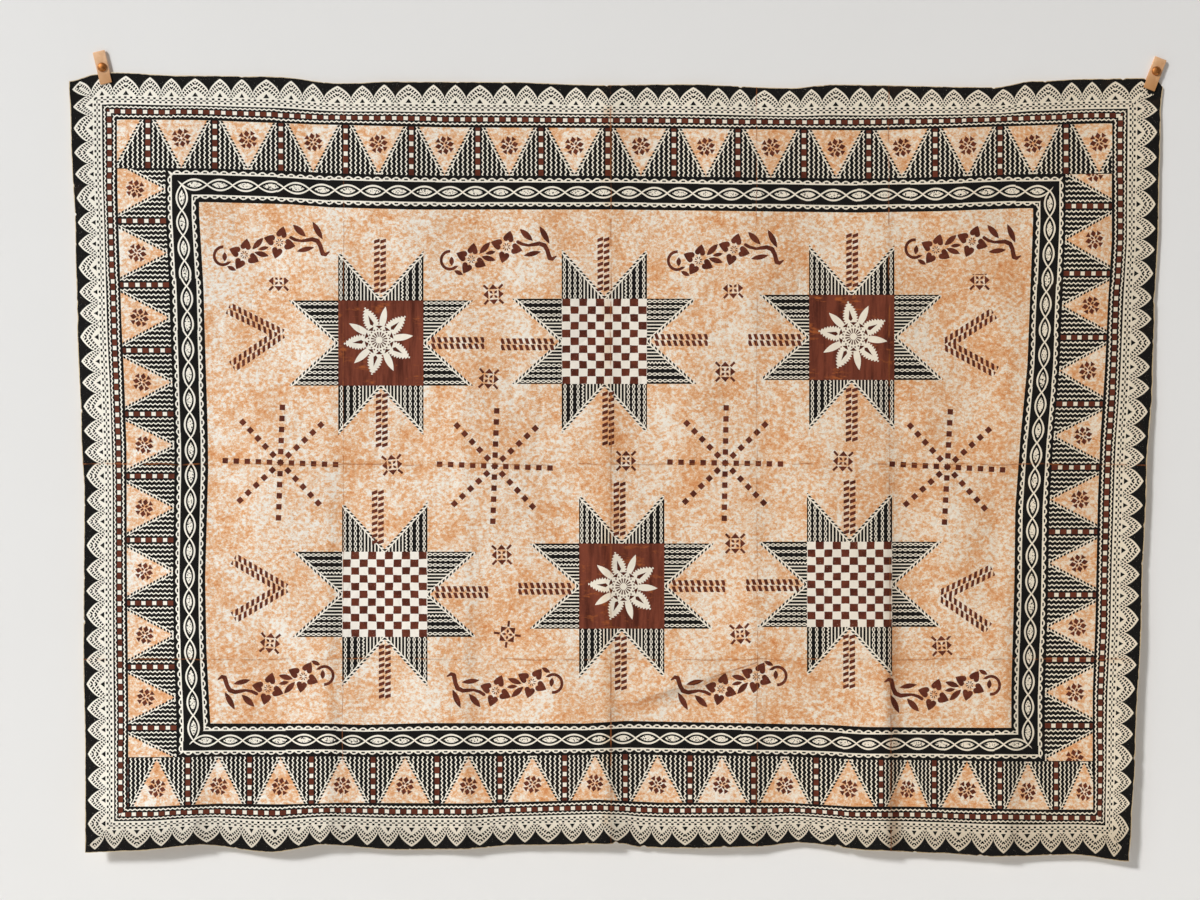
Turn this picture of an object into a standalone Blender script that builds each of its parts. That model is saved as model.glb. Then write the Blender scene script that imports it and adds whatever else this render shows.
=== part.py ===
"""A printed bark cloth hung on a wall from two folded leather tabs, each with a domed stud.

Metres, +Z up. The origin is midway between the two studs on the plane of the wall,
and the cloth's printed face looks along -Y.
"""

import math

import bmesh
import bpy
from mathutils import Matrix, Vector

# The sheet of bark cloth
CLOTH_THICKNESS = 0.0016
CLOTH_HEIGHT = 1.80
COLUMNS = 76
ROWS = 31

# The leather tabs and their studs
TAB_WIDTH = 0.027
LEATHER = 0.003
GAP = 0.0003
STUD_REACH = 1.2095
STUD_RADIUS = 0.0105
STUD_RIM = 0.0012
STUD_DOME = 0.0052
SHANK_RADIUS = 0.0025
SHANK_CLEARANCE = 0.0004
BEND_STEPS = 8
DOME_STEPS = 6
ROUND_SIDES = 32
# name, side, stud's height, lean of the top to the right in degrees, length above and below the stud
TABS = (
    ("left", -1, 0.0044, -13.5, 0.0388, 0.0378),
    ("right", 1, -0.0044, 21.3, 0.0327, 0.0445),
)
LEAF_SPACE = CLOTH_THICKNESS + 2 * GAP
TAB_DEPTH = 2 * LEATHER + LEAF_SPACE
HELD_DEPTH = TAB_DEPTH / 2

# The cloth's outline, uneven as it hangs, as an eye this far in front sees it against the wall.
# A point that stands off the wall lies on the line from the eye to its place here.
EYE = Vector((-0.067, -3.7, -0.874))
# Top and bottom edge: place across, height
TOP_EDGE = (
    (-1.289, -0.025),
    (-1.224, -0.009),
    (-1.190, -0.005),
    (-1.029, -0.012),
    (-0.826, -0.014),
    (-0.656, -0.030),
    (-0.546, -0.026),
    (-0.286, -0.027),
    (-0.067, -0.034),
    (0.121, -0.032),
    (0.372, -0.041),
    (0.462, -0.033),
    (0.837, -0.039),
    (0.926, -0.025),
    (1.062, -0.020),
    (1.181, -0.018),
    (1.228, -0.034),
)
BOTTOM_EDGE = (
    (-1.252, -1.801),
    (-1.135, -1.797),
    (-0.980, -1.783),
    (-0.826, -1.800),
    (-0.702, -1.783),
    (-0.537, -1.794),
    (-0.382, -1.793),
    (-0.274, -1.784),
    (-0.024, -1.781),
    (0.020, -1.789),
    (0.130, -1.791),
    (0.285, -1.787),
    (0.372, -1.778),
    (0.549, -1.796),
    (0.687, -1.802),
    (0.821, -1.810),
    (0.995, -1.806),
    (1.149, -1.821),
)
# Left and right: share of the height from the top, place across
LEFT_EDGE = (
    (0.0, -1.289),
    (0.07, -1.285),
    (0.22, -1.274),
    (0.32, -1.270),
    (0.46, -1.261),
    (0.54, -1.254),
    (0.75, -1.256),
    (0.87, -1.252),
    (1.0, -1.252),
)
RIGHT_EDGE = (
    (0.0, 1.228),
    (0.04, 1.223),
    (0.19, 1.218),
    (0.30, 1.209),
    (0.38, 1.205),
    (0.51, 1.191),
    (0.67, 1.180),
    (0.87, 1.165),
    (0.96, 1.156),
    (1.0, 1.150),
)

# How far the sheet's middle stands off the wall, away from the tabs
TOP_STAND_OFF = 0.006
HEM_STAND_OFF = 0.024
# The creases left by folding the cloth for storage are steps, stronger towards the hem. The sheet
# comes forward slowly from the left, drops behind on the right, and comes back over the next stretch.
# place across, height at the top, height at the hem, width of the drop
UPRIGHT_CREASES = (
    (-1.000, 0.001, 0.009, 0.030),
    (-0.690, 0.001, 0.011, 0.030),
    (-0.378, 0.001, 0.009, 0.030),
    (-0.047, 0.003, 0.009, 0.024),
    (0.282, 0.001, 0.010, 0.036),
    (0.592, 0.002, 0.016, 0.022),
    (0.871, 0.000, 0.017, 0.045),
)
CREASE_RISE = 0.130
CREASE_RETURN = 0.150
CREASE_DIP = 0.6
CREASE_GROWTH = 2.2
# height, crease's height, width above, width below
LEVEL_CREASES = (
    (-0.475, 0.0012, 0.080, 0.040),
    (-0.905, 0.0030, 0.090, 0.040),
    (-1.352, 0.0025, 0.080, 0.040),
)
# Ridges that the weight pulls between two points, and one long hollow below the right tab:
# from, to, height, width
SLANTED_RIDGES = (
    ((-0.040, -1.480), (0.290, -1.371), 0.009, 0.060),
    ((1.190, -0.060), (0.980, -0.560), 0.005, 0.060),
    ((0.955, -0.740), (0.770, -1.370), -0.007, 0.060),
    ((-1.150, -0.060), (-0.900, -0.420), 0.003, 0.050),
)
RIDGE_FADE = 2.4
# Slow waves over the whole sheet: height, waves across a metre, waves down a metre, phase
SLOW_WAVES = (
    (0.0030, 1.37, 0.41, 0.6),
    (0.0022, 2.31, -0.83, 2.1),
    (0.0016, 3.90, 1.21, 4.0),
)
# Corners that bend forward: share across, share down, height, width
BENT_CORNERS = (
    (0.0, 0.0, 0.007, 0.045),
    (1.0, 0.0, 0.010, 0.038),
    (0.0, 1.0, 0.016, 0.220),
    (1.0, 1.0, 0.008, 0.160),
)
# The tabs hold the sheet flat this far round a point on their front leaves, and it hangs free beyond
HELD_REACH = 0.034
FREE_REACH = 0.150
HELD_SHARE = 0.6

# Finishes: colour, roughness, metallic
FINISHES = {
    "bark_cloth": ((0.62, 0.42, 0.25), 0.88, 0.0),
    "tan_leather": ((0.60, 0.34, 0.17), 0.55, 0.0),
    "antique_brass": ((0.36, 0.23, 0.11), 0.35, 1.0),
}


def clear_scene():
    for obj in list(bpy.data.objects):
        bpy.data.objects.remove(obj, do_unlink=True)


def smooth(share):
    """0 to 1 with a level start and end."""
    share = min(max(share, 0.0), 1.0)
    return share * share * (3 - 2 * share)


def along(table, place):
    """The table's second column at this place in its first, turning smoothly at each row."""
    for (start, first), (end, second) in zip(table, table[1:]):
        if place <= end:
            share = (place - start) / (end - start)
            return first + (second - first) * smooth(share)
    return table[-1][1]


def across_edge(table, share):
    """An edge's height at a share of its length."""
    start, end = table[0][0], table[-1][0]
    return along(table, start + (end - start) * share)


def beside_line(point, start, end):
    """Distance from the line between two points, and how near its ends: 1 along it, 0 past them."""
    run = end - start
    share = (point - start).dot(run) / run.length_squared
    nearest = start + run * min(max(share, 0.0), 1.0)
    fade = smooth(RIDGE_FADE * (0.5 - abs(share - 0.5)))
    return (point - nearest).length, fade


def crease_step(gap, width):
    """A storage crease's height this far to its right: 1 on it, and below 0 a little beyond."""
    if gap < 0:
        return math.exp(gap / CREASE_RISE)
    drop = (1 + CREASE_DIP) * math.exp(-gap / width)
    return drop - CREASE_DIP * math.exp(-gap / CREASE_RETURN)


def stand_off(x, z, across, down):
    """How far the sheet's middle is from the wall."""
    depth = TOP_STAND_OFF + (HEM_STAND_OFF - TOP_STAND_OFF) * down
    growth = down**CREASE_GROWTH
    for place, top, hem, width in UPRIGHT_CREASES:
        depth += (top + (hem - top) * growth) * crease_step(x - place, width)
    for place, height, above, below in LEVEL_CREASES:
        gap = z - place
        width = above if gap > 0 else below
        depth += height * math.exp(-abs(gap) / width)
    for start, end, height, width in SLANTED_RIDGES:
        gap, fade = beside_line(Vector((x, z)), Vector(start), Vector(end))
        depth += height * fade * math.exp(-((gap / width) ** 2))
    for height, over, under, phase in SLOW_WAVES:
        depth += height * math.sin(math.tau * (over * x + under * z) + phase)
    for corner, level, height, width in BENT_CORNERS:
        gap = math.hypot((across - corner) * 2 * STUD_REACH, (down - level) * CLOTH_HEIGHT)
        depth += height * math.exp(-((gap / width) ** 2))
    return max(depth, HELD_DEPTH)


def tab_grip(x, z):
    """1 between the tabs' leaves, falling to 0 where the sheet hangs free of them."""
    grip = 0.0
    for _, side, height, lean, _, below in TABS:
        turn = math.radians(lean)
        held = Vector((side * STUD_REACH, height))
        held -= Vector((math.sin(turn), math.cos(turn))) * below * HELD_SHARE
        gap = (Vector((x, z)) - held).length
        grip = max(grip, smooth((FREE_REACH - gap) / (FREE_REACH - HELD_REACH)))
    return grip


def sheet_point(across, down):
    """A point of the sheet's middle, from its shares across and down."""
    left = along(LEFT_EDGE, down)
    right = along(RIGHT_EDGE, down)
    x = left + (right - left) * across
    top = across_edge(TOP_EDGE, across)
    bottom = across_edge(BOTTOM_EDGE, across)
    z = top + (bottom - top) * down
    free = stand_off(x, z, across, down)
    depth = free + (HELD_DEPTH - free) * tab_grip(x, z)
    on_wall = Vector((x, 0.0, z))
    return on_wall + (EYE - on_wall) * (depth / -EYE.y)


def column_shares():
    """Even shares across, with one moved onto each upright crease and one onto the foot of its step."""
    shares = [column / COLUMNS for column in range(COLUMNS + 1)]
    left, right = BOTTOM_EDGE[0][0], BOTTOM_EDGE[-1][0]
    for place, _, _, width in UPRIGHT_CREASES:
        for line in (place, place + 2 * width):
            share = (line - left) / (right - left)
            shares[round(share * COLUMNS)] = share
    return shares


def new_object(name, shape, finish, parent):
    mesh = bpy.data.meshes.new(name)
    shape.to_mesh(mesh)
    shape.free()
    mesh.materials.append(finish)
    piece = bpy.data.objects.new(name, mesh)
    bpy.context.scene.collection.objects.link(piece)
    piece.parent = parent
    return piece


def new_finish(name):
    colour, roughness, metallic = FINISHES[name]
    finish = bpy.data.materials.new(name)
    finish.use_nodes = True
    shader = finish.node_tree.nodes["Principled BSDF"]
    shader.inputs["Base Color"].default_value = (*colour, 1.0)
    shader.inputs["Roughness"].default_value = roughness
    shader.inputs["Metallic"].default_value = metallic
    return finish


def bark_cloth(parent):
    """The one felted sheet, with its outline, creases and ridges."""
    shape = bmesh.new()
    bmesh.ops.create_grid(shape, x_segments=COLUMNS, y_segments=ROWS, size=0.5)
    shares = column_shares()
    for vertex in shape.verts:
        across = shares[round((vertex.co.x + 0.5) * COLUMNS)]
        down = 0.5 - vertex.co.y
        vertex.co = sheet_point(across, down)
    bmesh.ops.recalc_face_normals(shape, faces=shape.faces)
    cloth = new_object("bark_cloth", shape, new_finish("bark_cloth"), parent)
    thicken = cloth.modifiers.new("Thickness", "SOLIDIFY")
    thicken.thickness = CLOTH_THICKNESS
    thicken.offset = 0.0
    return cloth


def strap_profile(above, below):
    """The folded strap seen from its side, as (depth, height): two leaves and the bend over them."""
    outer = TAB_DEPTH / 2
    inner = LEAF_SPACE / 2
    spring = above - outer
    points = [(0.0, -below)]
    for step in range(BEND_STEPS + 1):
        angle = math.pi * step / BEND_STEPS
        points.append((-outer + outer * math.cos(angle), spring + outer * math.sin(angle)))
    points.append((-TAB_DEPTH, -below))
    points.append((-TAB_DEPTH + LEATHER, -below))
    for step in range(BEND_STEPS + 1):
        angle = math.pi * (1 - step / BEND_STEPS)
        points.append((-outer + inner * math.cos(angle), spring + inner * math.sin(angle)))
    points.append((-LEATHER, -below))
    return points


def hanging_tab(name, side, height, lean, above, below, finish, parent):
    """A leather strap folded over at the top, with a hole for its stud through both leaves."""
    shape = bmesh.new()
    corners = [
        shape.verts.new((-TAB_WIDTH / 2, depth, level)) for depth, level in strap_profile(above, below)
    ]
    face = shape.faces.new(corners)
    grown = bmesh.ops.extrude_face_region(shape, geom=[face])
    moved = [item for item in grown["geom"] if isinstance(item, bmesh.types.BMVert)]
    bmesh.ops.translate(shape, verts=moved, vec=(TAB_WIDTH, 0, 0))
    bmesh.ops.recalc_face_normals(shape, faces=shape.faces)
    tab = new_object(f"tab_{name}", shape, finish, parent)
    tab.location = (side * STUD_REACH, 0, height)
    tab.rotation_euler = (0, math.radians(lean), 0)

    cutter_shape = bmesh.new()
    bmesh.ops.create_cone(
        cutter_shape,
        cap_ends=True,
        segments=ROUND_SIDES,
        radius1=SHANK_RADIUS + SHANK_CLEARANCE,
        radius2=SHANK_RADIUS + SHANK_CLEARANCE,
        depth=4 * TAB_DEPTH,
        matrix=Matrix.Rotation(math.radians(90), 4, "X"),
    )
    cutter = new_object(f"stud_hole_{name}", cutter_shape, finish, tab)
    cutter.hide_render = True
    cutter.display_type = "WIRE"
    cut = tab.modifiers.new("Stud hole", "BOOLEAN")
    cut.object = cutter
    cut.operation = "DIFFERENCE"
    cut.solver = "EXACT"
    return tab


def domed_stud(name, side, height, finish, parent):
    """A domed head over the front leaf, on a shank that ends flush with the wall's plane."""
    back = TAB_DEPTH + GAP
    profile = [(0.0, 0.0), (SHANK_RADIUS, 0.0), (SHANK_RADIUS, back), (STUD_RADIUS, back)]
    for step in range(DOME_STEPS + 1):
        angle = math.pi / 2 * step / DOME_STEPS
        profile.append((STUD_RADIUS * math.cos(angle), back + STUD_RIM + STUD_DOME * math.sin(angle)))
    shape = bmesh.new()
    points = [shape.verts.new((radius, -depth, 0)) for radius, depth in profile]
    edges = [shape.edges.new(pair) for pair in zip(points, points[1:])]
    bmesh.ops.spin(
        shape,
        geom=points + edges,
        cent=(0, 0, 0),
        axis=(0, 1, 0),
        angle=math.tau,
        steps=ROUND_SIDES,
        use_merge=True,
    )
    bmesh.ops.remove_doubles(shape, verts=shape.verts, dist=0.00001)
    bmesh.ops.recalc_face_normals(shape, faces=shape.faces)
    stud = new_object(f"stud_{name}", shape, finish, parent)
    stud.location = (side * STUD_REACH, 0, height)
    return stud


def build():
    clear_scene()
    hanging = bpy.data.objects.new("hanging", None)
    bpy.context.scene.collection.objects.link(hanging)
    bark_cloth(hanging)
    leather = new_finish("tan_leather")
    brass = new_finish("antique_brass")
    for name, side, height, lean, above, below in TABS:
        hanging_tab(name, side, height, lean, above, below, leather, hanging)
        domed_stud(name, side, height, brass, hanging)


build()
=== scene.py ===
import math
from functools import cache

import bmesh
import bpy
from mathutils import Matrix, Vector, noise


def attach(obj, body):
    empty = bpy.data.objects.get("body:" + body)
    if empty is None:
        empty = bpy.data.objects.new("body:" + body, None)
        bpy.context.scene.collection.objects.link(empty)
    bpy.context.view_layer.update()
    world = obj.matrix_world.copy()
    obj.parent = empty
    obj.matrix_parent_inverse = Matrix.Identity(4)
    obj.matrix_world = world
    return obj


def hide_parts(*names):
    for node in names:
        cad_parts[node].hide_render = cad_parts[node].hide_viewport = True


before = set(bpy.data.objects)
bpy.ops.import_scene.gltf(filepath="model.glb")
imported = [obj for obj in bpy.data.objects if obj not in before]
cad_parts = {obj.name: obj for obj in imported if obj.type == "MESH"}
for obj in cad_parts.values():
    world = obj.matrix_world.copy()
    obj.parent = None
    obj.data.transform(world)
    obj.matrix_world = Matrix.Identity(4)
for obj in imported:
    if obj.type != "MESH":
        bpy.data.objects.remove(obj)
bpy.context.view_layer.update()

# The sheet. Its outline, creases and waves are the CAD's, with finer ridges and crumples added
CLOTH_THICKNESS = 0.0016
HELD_DEPTH = 0.0041
EYE = Vector((-0.067, -3.7, -0.874))
# name, side, stud's height, lean of the top to the right in degrees, length of the tab below the stud
TABS = (
    ("left", -1, 0.0044, -13.5, 0.0378),
    ("right", 1, -0.0044, 21.3, 0.0445),
)
STUD_REACH = 1.2095
CLOTH_HEIGHT = 1.8
# Top and bottom edge: place across, height
TOP_EDGE = (
    (-1.289, -0.025), (-1.224, -0.009), (-1.19, -0.005), (-1.029, -0.012), (-0.826, -0.014),
    (-0.656, -0.03), (-0.546, -0.026), (-0.286, -0.027), (-0.067, -0.034), (0.121, -0.032),
    (0.372, -0.041), (0.462, -0.033), (0.837, -0.039), (0.926, -0.025), (1.062, -0.02),
    (1.181, -0.018), (1.213, -0.022), (1.228, -0.037),
)
BOTTOM_EDGE = (
    (-1.252, -1.801), (-1.135, -1.797), (-0.98, -1.783), (-0.826, -1.8), (-0.702, -1.783),
    (-0.537, -1.794), (-0.382, -1.793), (-0.274, -1.784), (-0.024, -1.781), (0.02, -1.789),
    (0.13, -1.791), (0.285, -1.787), (0.372, -1.778), (0.549, -1.796), (0.687, -1.802),
    (0.821, -1.81), (0.995, -1.806), (1.149, -1.821),
)
# Left and right edge: share of the height from the top, place across
LEFT_EDGE = (
    (0, -1.289), (0.07, -1.285), (0.22, -1.274), (0.32, -1.27), (0.46, -1.261),
    (0.54, -1.254), (0.75, -1.256), (0.87, -1.252), (1, -1.252),
)
RIGHT_EDGE = (
    (0, 1.228), (0.04, 1.223), (0.19, 1.218), (0.3, 1.209), (0.38, 1.205),
    (0.51, 1.191), (0.67, 1.18), (0.87, 1.165), (0.96, 1.156), (1, 1.15),
)
TOP_STAND_OFF = 0.006
HEM_STAND_OFF = 0.024
# place across, height at the top, height at the hem, width of the drop
UPRIGHT_CREASES = (
    (-1, 0.001, 0.009, 0.03),
    (-0.69, 0.001, 0.011, 0.03),
    (-0.378, 0.001, 0.009, 0.03),
    (-0.047, 0.003, 0.009, 0.024),
    (0.282, 0.001, 0.01, 0.036),
    (0.592, 0.002, 0.016, 0.022),
    (0.871, 0, 0.017, 0.045),
)
CREASE_RISE = 0.13
CREASE_RETURN = 0.15
CREASE_DIP = 0.6
CREASE_GROWTH = 2.2
# height, crease's height, width above, width below
LEVEL_CREASES = (
    (-0.475, 0.0012, 0.08, 0.04),
    (-0.905, 0.003, 0.09, 0.018),
    (-1.352, 0.0025, 0.08, 0.018),
)
# from, to, height, width at its upper or left side, width at the other
SLANTED_RIDGES = (
    ((-0.04, -1.466), (0.29, -1.359), 0.014, 0.085, 0.018),
    ((1.19, -0.06), (0.98, -0.56), 0.005, 0.06, 0.06),
    ((0.955, -0.74), (0.77, -1.37), -0.007, 0.055, 0.055),
    ((0.63, -0.62), (0.58, -0.9), -0.003, 0.028, 0.028),
    ((0.63, -0.88), (0.78, -0.74), 0.003, 0.05, 0.025),
    ((0.56, -0.582), (1.13, -0.582), -0.003, 0.05, 0.03),
    ((0.05, -0.38), (0.24, -0.52), 0.003, 0.06, 0.035),
    ((0.16, -0.56), (0.42, -0.47), 0.003, 0.06, 0.035),
    ((-0.24, -0.88), (0.06, -0.8), 0.003, 0.06, 0.03),
    ((-1.15, -0.06), (-0.9, -0.42), 0.003, 0.05, 0.05),
)
RIDGE_FADE = 2.4
# height, waves across a metre, waves down a metre, phase
SLOW_WAVES = (
    (0.003, 1.37, 0.41, 0.6),
    (0.0022, 2.31, -0.83, 2.1),
    (0.0016, 3.9, 1.21, 4),
)
# share across, share down, height, width
BENT_CORNERS = (
    (0, 0, 0.007, 0.045),
    (1, 0, 0.01, 0.038),
    (0, 1, 0.016, 0.22),
    (1, 1, 0.008, 0.16),
)
HELD_REACH = 0.034
FREE_REACH = 0.15
HELD_SHARE = 0.6
# Crumples too fine for the CAD: waves to a metre, height
CRUMPLES = ((9, 0.0022), (24, 0.0009), (55, 0.0004))
CRUMPLE_SQUASH = 0.8
# The torn edge: waves to a metre and seed of the fibres, slow waves and nicks, and their depths
TORN_EDGE = ((160, 3), (31, 8), (60, 21))
FIBRE_DEPTH = 0.0005
WAVE_DEPTH = 0.0014
NICK_DEPTH = 0.014
NICK_START = 0.42

# The flat cloth, and the strips of its printed border, measured inwards from each edge
FLAT_WIDTH = 2.46
FLAT_HEIGHT = 1.79
LACE = 0.0735
RING = 0.108
BAND = 0.2208
BORDER = 0.297
# The ring's inner line and the field's outline. Above and below: place across, height
RING_TOP = (
    (-1.144, -0.113), (-0.987, -0.114), (-0.725, -0.124), (-0.424, -0.131), (0.027, -0.133),
    (0.554, -0.138), (1.076, -0.122),
)
RING_BOTTOM = (
    (-1.086, -1.695), (-0.944, -1.688), (-0.803, -1.69), (-0.661, -1.686), (-0.371, -1.688),
    (-0.079, -1.679), (0.066, -1.686), (0.358, -1.686), (0.505, -1.695), (0.641, -1.695),
    (0.917, -1.702),
)
FIELD_TOP = (
    (-0.953, -0.304), (-0.769, -0.309), (-0.677, -0.316), (-0.493, -0.321), (-0.033, -0.321),
    (0.519, -0.328), (0.703, -0.325), (0.887, -0.318),
)
FIELD_BOTTOM = (
    (-0.93, -1.503), (-0.7, -1.503), (-0.608, -1.506), (-0.47, -1.502), (-0.102, -1.503),
    (-0.01, -1.497), (0.45, -1.506), (0.542, -1.511), (0.818, -1.513),
)
# At the sides: distance below the studs, place across
RING_LEFT = (
    (0.274, -1.178), (0.57, -1.169), (0.717, -1.162), (0.862, -1.157), (1.154, -1.156),
    (1.444, -1.153),
)
RING_RIGHT = (
    (0.391, 1.111), (0.54, 1.102), (0.692, 1.095), (0.842, 1.085), (0.989, 1.079),
    (1.281, 1.073), (1.433, 1.067),
)
FIELD_LEFT = (
    (0.333, -0.989), (0.499, -0.979), (0.83, -0.969), (0.913, -0.968), (1.161, -0.975),
    (1.327, -0.972), (1.493, -0.963),
)
FIELD_RIGHT = (
    (0.349, 0.929), (0.681, 0.916), (0.846, 0.9), (1.012, 0.888), (1.177, 0.886),
    (1.426, 0.879),
)
CELL = 0.0106
RAGGED_CUTS = 3
SCALLOP = 0.0531
# Where three scallops of one stencil begin and end, as shares of their length
STENCIL = (0, 0.314, 0.614, 1)

# The bars between the triangles, where they stand on each side of the border
TOP_BARS = (
    -1.107, -0.953, -0.801, -0.652, -0.501, -0.348, -0.203, -0.049,
    0.103, 0.25, 0.402, 0.551, 0.704, 0.853, 1.005,
)
BOTTOM_BARS = (
    -1.015, -0.873, -0.731, -0.589, -0.442, -0.297, -0.148, -0.009,
    0.14, 0.286, 0.43, 0.58, 0.701, 0.853, 0.982,
)
LEFT_BARS = (0.347, 0.494, 0.645, 0.791, 0.934, 1.081, 1.226, 1.373, 1.513)
RIGHT_BARS = (0.313, 0.468, 0.615, 0.768, 0.914, 1.062, 1.207, 1.356, 1.508)

# Motifs of the field: centre across, centre's height
# stars: with what their square holds, its turn, how far right and up of the centre it was printed,
# and how far off the centre line each bar of dashes was printed: the upper, lower, left and right
# bar, in millimetres, with None where a star has no such bar
STARS = (
    (-0.571, -0.628, "flower", 0, -4, 7, (-2, 2, None, 0)),
    (-0.057, -0.624, "checks", 180, 0, 0, (-2, 9, -7, 3)),
    (0.512, -0.615, "flower", -15, 4, 2, (1, 0, -6, None)),
    (-0.562, -1.206, "checks", 0, 0, 0, (-16, 0, None, 5)),
    (-0.017, -1.187, "flower", -10, 4, -1, (-5, -2, -6, 0)),
    (0.507, -1.183, "checks", 0, 0, 0, (0, -1, -2, None)),
)
# vines: with their turn, about half a turn for those below
VINES = (
    (-0.826, -0.409, 0), (-0.304, -0.419, 0), (0.219, -0.424, -2), (0.766, -0.404, -6),
    (-0.809, -1.411, 180), (-0.284, -1.418, 174), (0.233, -1.412, 180), (0.723, -1.426, 176),
)
# asterisks: with their lean
ASTERISKS = (
    (-0.802, -0.903, -2), (-0.309, -0.911, -2), (0.221, -0.904, -1), (0.732, -0.913, -3),
)
# chevrons: pointing right, or about half a turn round
CHEVRONS = (
    (-0.86, -0.611, 4), (-0.852, -1.192, 0), (0.784, -0.629, 182), (0.774, -1.213, 176),
)
# small stars: with their turn
SMALL_STARS = (
    (-0.806, -0.485, 0), (-0.312, -0.516, 3), (-0.323, -0.71, -4), (0.239, -0.502, 2),
    (0.221, -0.694, 0), (-0.545, -0.908, 6), (-0.007, -0.899, 0), (0.492, -0.9, -3),
    (-0.293, -1.115, 2), (-0.28, -1.298, 38), (0.244, -1.089, 0), (0.255, -1.297, 5),
    (0.806, -0.483, 0), (0.719, -1.324, 4), (-0.826, -1.318, -6),
)
STAR_SQUARE = 0.098
STAR_POINT = 0.108
BAR_END = 0.243
STAR_MARGIN = 0.005
BAR_MARGIN = 0.036
# the other motifs: finish, places, and the room that each takes across and up
MOTIFS = (
    ("vine", VINES, 0.146, 0.064),
    ("chevron", CHEVRONS, 0.073, 0.086),
    ("asterisk", ASTERISKS, 0.145, 0.145),
    ("small_star", SMALL_STARS, 0.034, 0.034),
)

# The cloth's map for the export: the front stands above a strip, and the plain back fills most of it
BACK_STRIP = 0.06
BACK_HEIGHT = 0.054
# The half cells without a flower, at the top left and the bottom left, are counted this far back
BLANK = 20

MM = 1000
# In millimetres: how far in the chain's middle lies, the length of a stencil of the ring or chain, and
# the pitch of the chain's loops, lace's dots, waved lines, triangles and asterisks' squares
CHAIN_MIDDLE = 257.6
STENCIL_LENGTH = 118
LOOP = 21.4
LACE_DOTS = 13.4
ZIGZAG = 10.8
TRIANGLE_PITCH = 150
SPOKE_PITCH = 25.4
# How far ink has spread at the rim of a leaf or stem
INK_SPREAD = 0.95

# Bends of a surface: nearly flat, worth rounding, and where its shading breaks on a tab and at the hem
FLAT_BEND = math.radians(2)
SHARP_BEND = math.radians(40)
SHADED_BEND = math.radians(35)
EDGE_BEND = math.radians(50)

# The picture: the sensor's width in millimetres, and the width of wall that it takes in
SENSOR_WIDTH = 36
VIEW_WIDTH = 2.76


def paint(red, green, blue):
    """A colour as a screen shows it, 0 to 255, as light."""
    light = []
    for level in (red, green, blue):
        share = level / 255
        light.append(share / 12.92 if share <= 0.04045 else ((share + 0.055) / 1.055) ** 2.4)
    return (*light, 1)


CREAM = paint(249, 244, 232)
PALE_BARK = paint(250, 246, 238)
BAST = paint(222, 204, 172)
PALE_OCHRE = paint(244, 215, 186)
OCHRE = paint(232, 175, 126)
DEEP_OCHRE = paint(214, 138, 82)
BLACK = paint(14, 12, 11)
BROWN_BLACK = paint(38, 27, 19)
WORN_RUST = paint(126, 64, 46)
RUST = paint(110, 53, 36)
DARK_RUST = paint(84, 37, 24)
SCRATCH = paint(168, 92, 48)
FOLD_BROWN = paint(166, 96, 46)


def with_maths(operation, turned_round=False):
    """A method that works out an operation on a number and another."""

    def method(self, other):
        values = (other, self) if turned_round else (self, other)
        return self.finish.maths(operation, *values)

    return method


class Number:
    """A number that varies over a surface. Arithmetic on it adds Math nodes, and a mask is 0 or 1."""

    def __init__(self, finish, socket):
        self.finish = finish
        self.socket = socket

    __add__ = __radd__ = with_maths("ADD")
    __sub__ = with_maths("SUBTRACT")
    __rsub__ = with_maths("SUBTRACT", turned_round=True)
    __mul__ = __rmul__ = __and__ = with_maths("MULTIPLY")
    __truediv__ = with_maths("DIVIDE")
    __lt__ = with_maths("LESS_THAN")
    __gt__ = with_maths("GREATER_THAN")
    __or__ = with_maths("MAXIMUM")

    def __abs__(self):
        return self.maths("ABSOLUTE")

    def __invert__(self):
        return 1 - self

    def maths(self, operation, *others):
        return self.finish.maths(operation, self, *others)


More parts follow.
